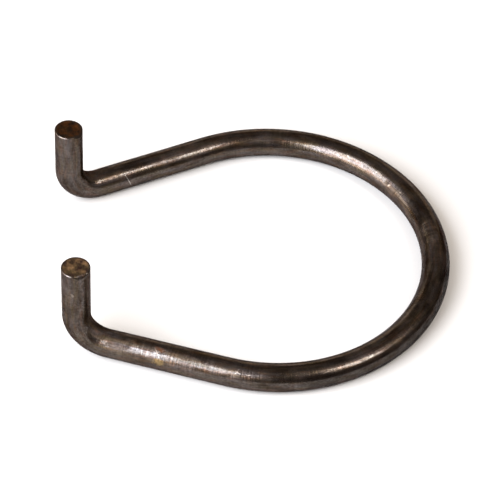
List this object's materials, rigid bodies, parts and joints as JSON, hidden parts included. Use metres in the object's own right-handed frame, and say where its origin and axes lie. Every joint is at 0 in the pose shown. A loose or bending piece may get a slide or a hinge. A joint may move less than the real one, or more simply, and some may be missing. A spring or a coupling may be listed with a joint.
{
  "type": "u-bolt",
  "caption": "Round steel bar bent into an open bow with straight converging legs, whose plain ends turn up square as pegs of unequal height for a pair of holes.",
  "frame": {"origin": "centre of the bow, in the plane of the bar's centreline", "axes": "+X from the pegs to the crown of the bow, +Z the way that the pegs stand, +Y towards the left, shorter peg"},
  "size_m": [0.11, 0.1, 0.031],
  "materials": {
    "blackened_steel": "dark brown-black mill oxide with oil, worn bright in places, and rust-brown sheared ends"
  },
  "bodies": {
    "root": {"bent_bar": "blackened_steel"}
  },
  "joints": []
}
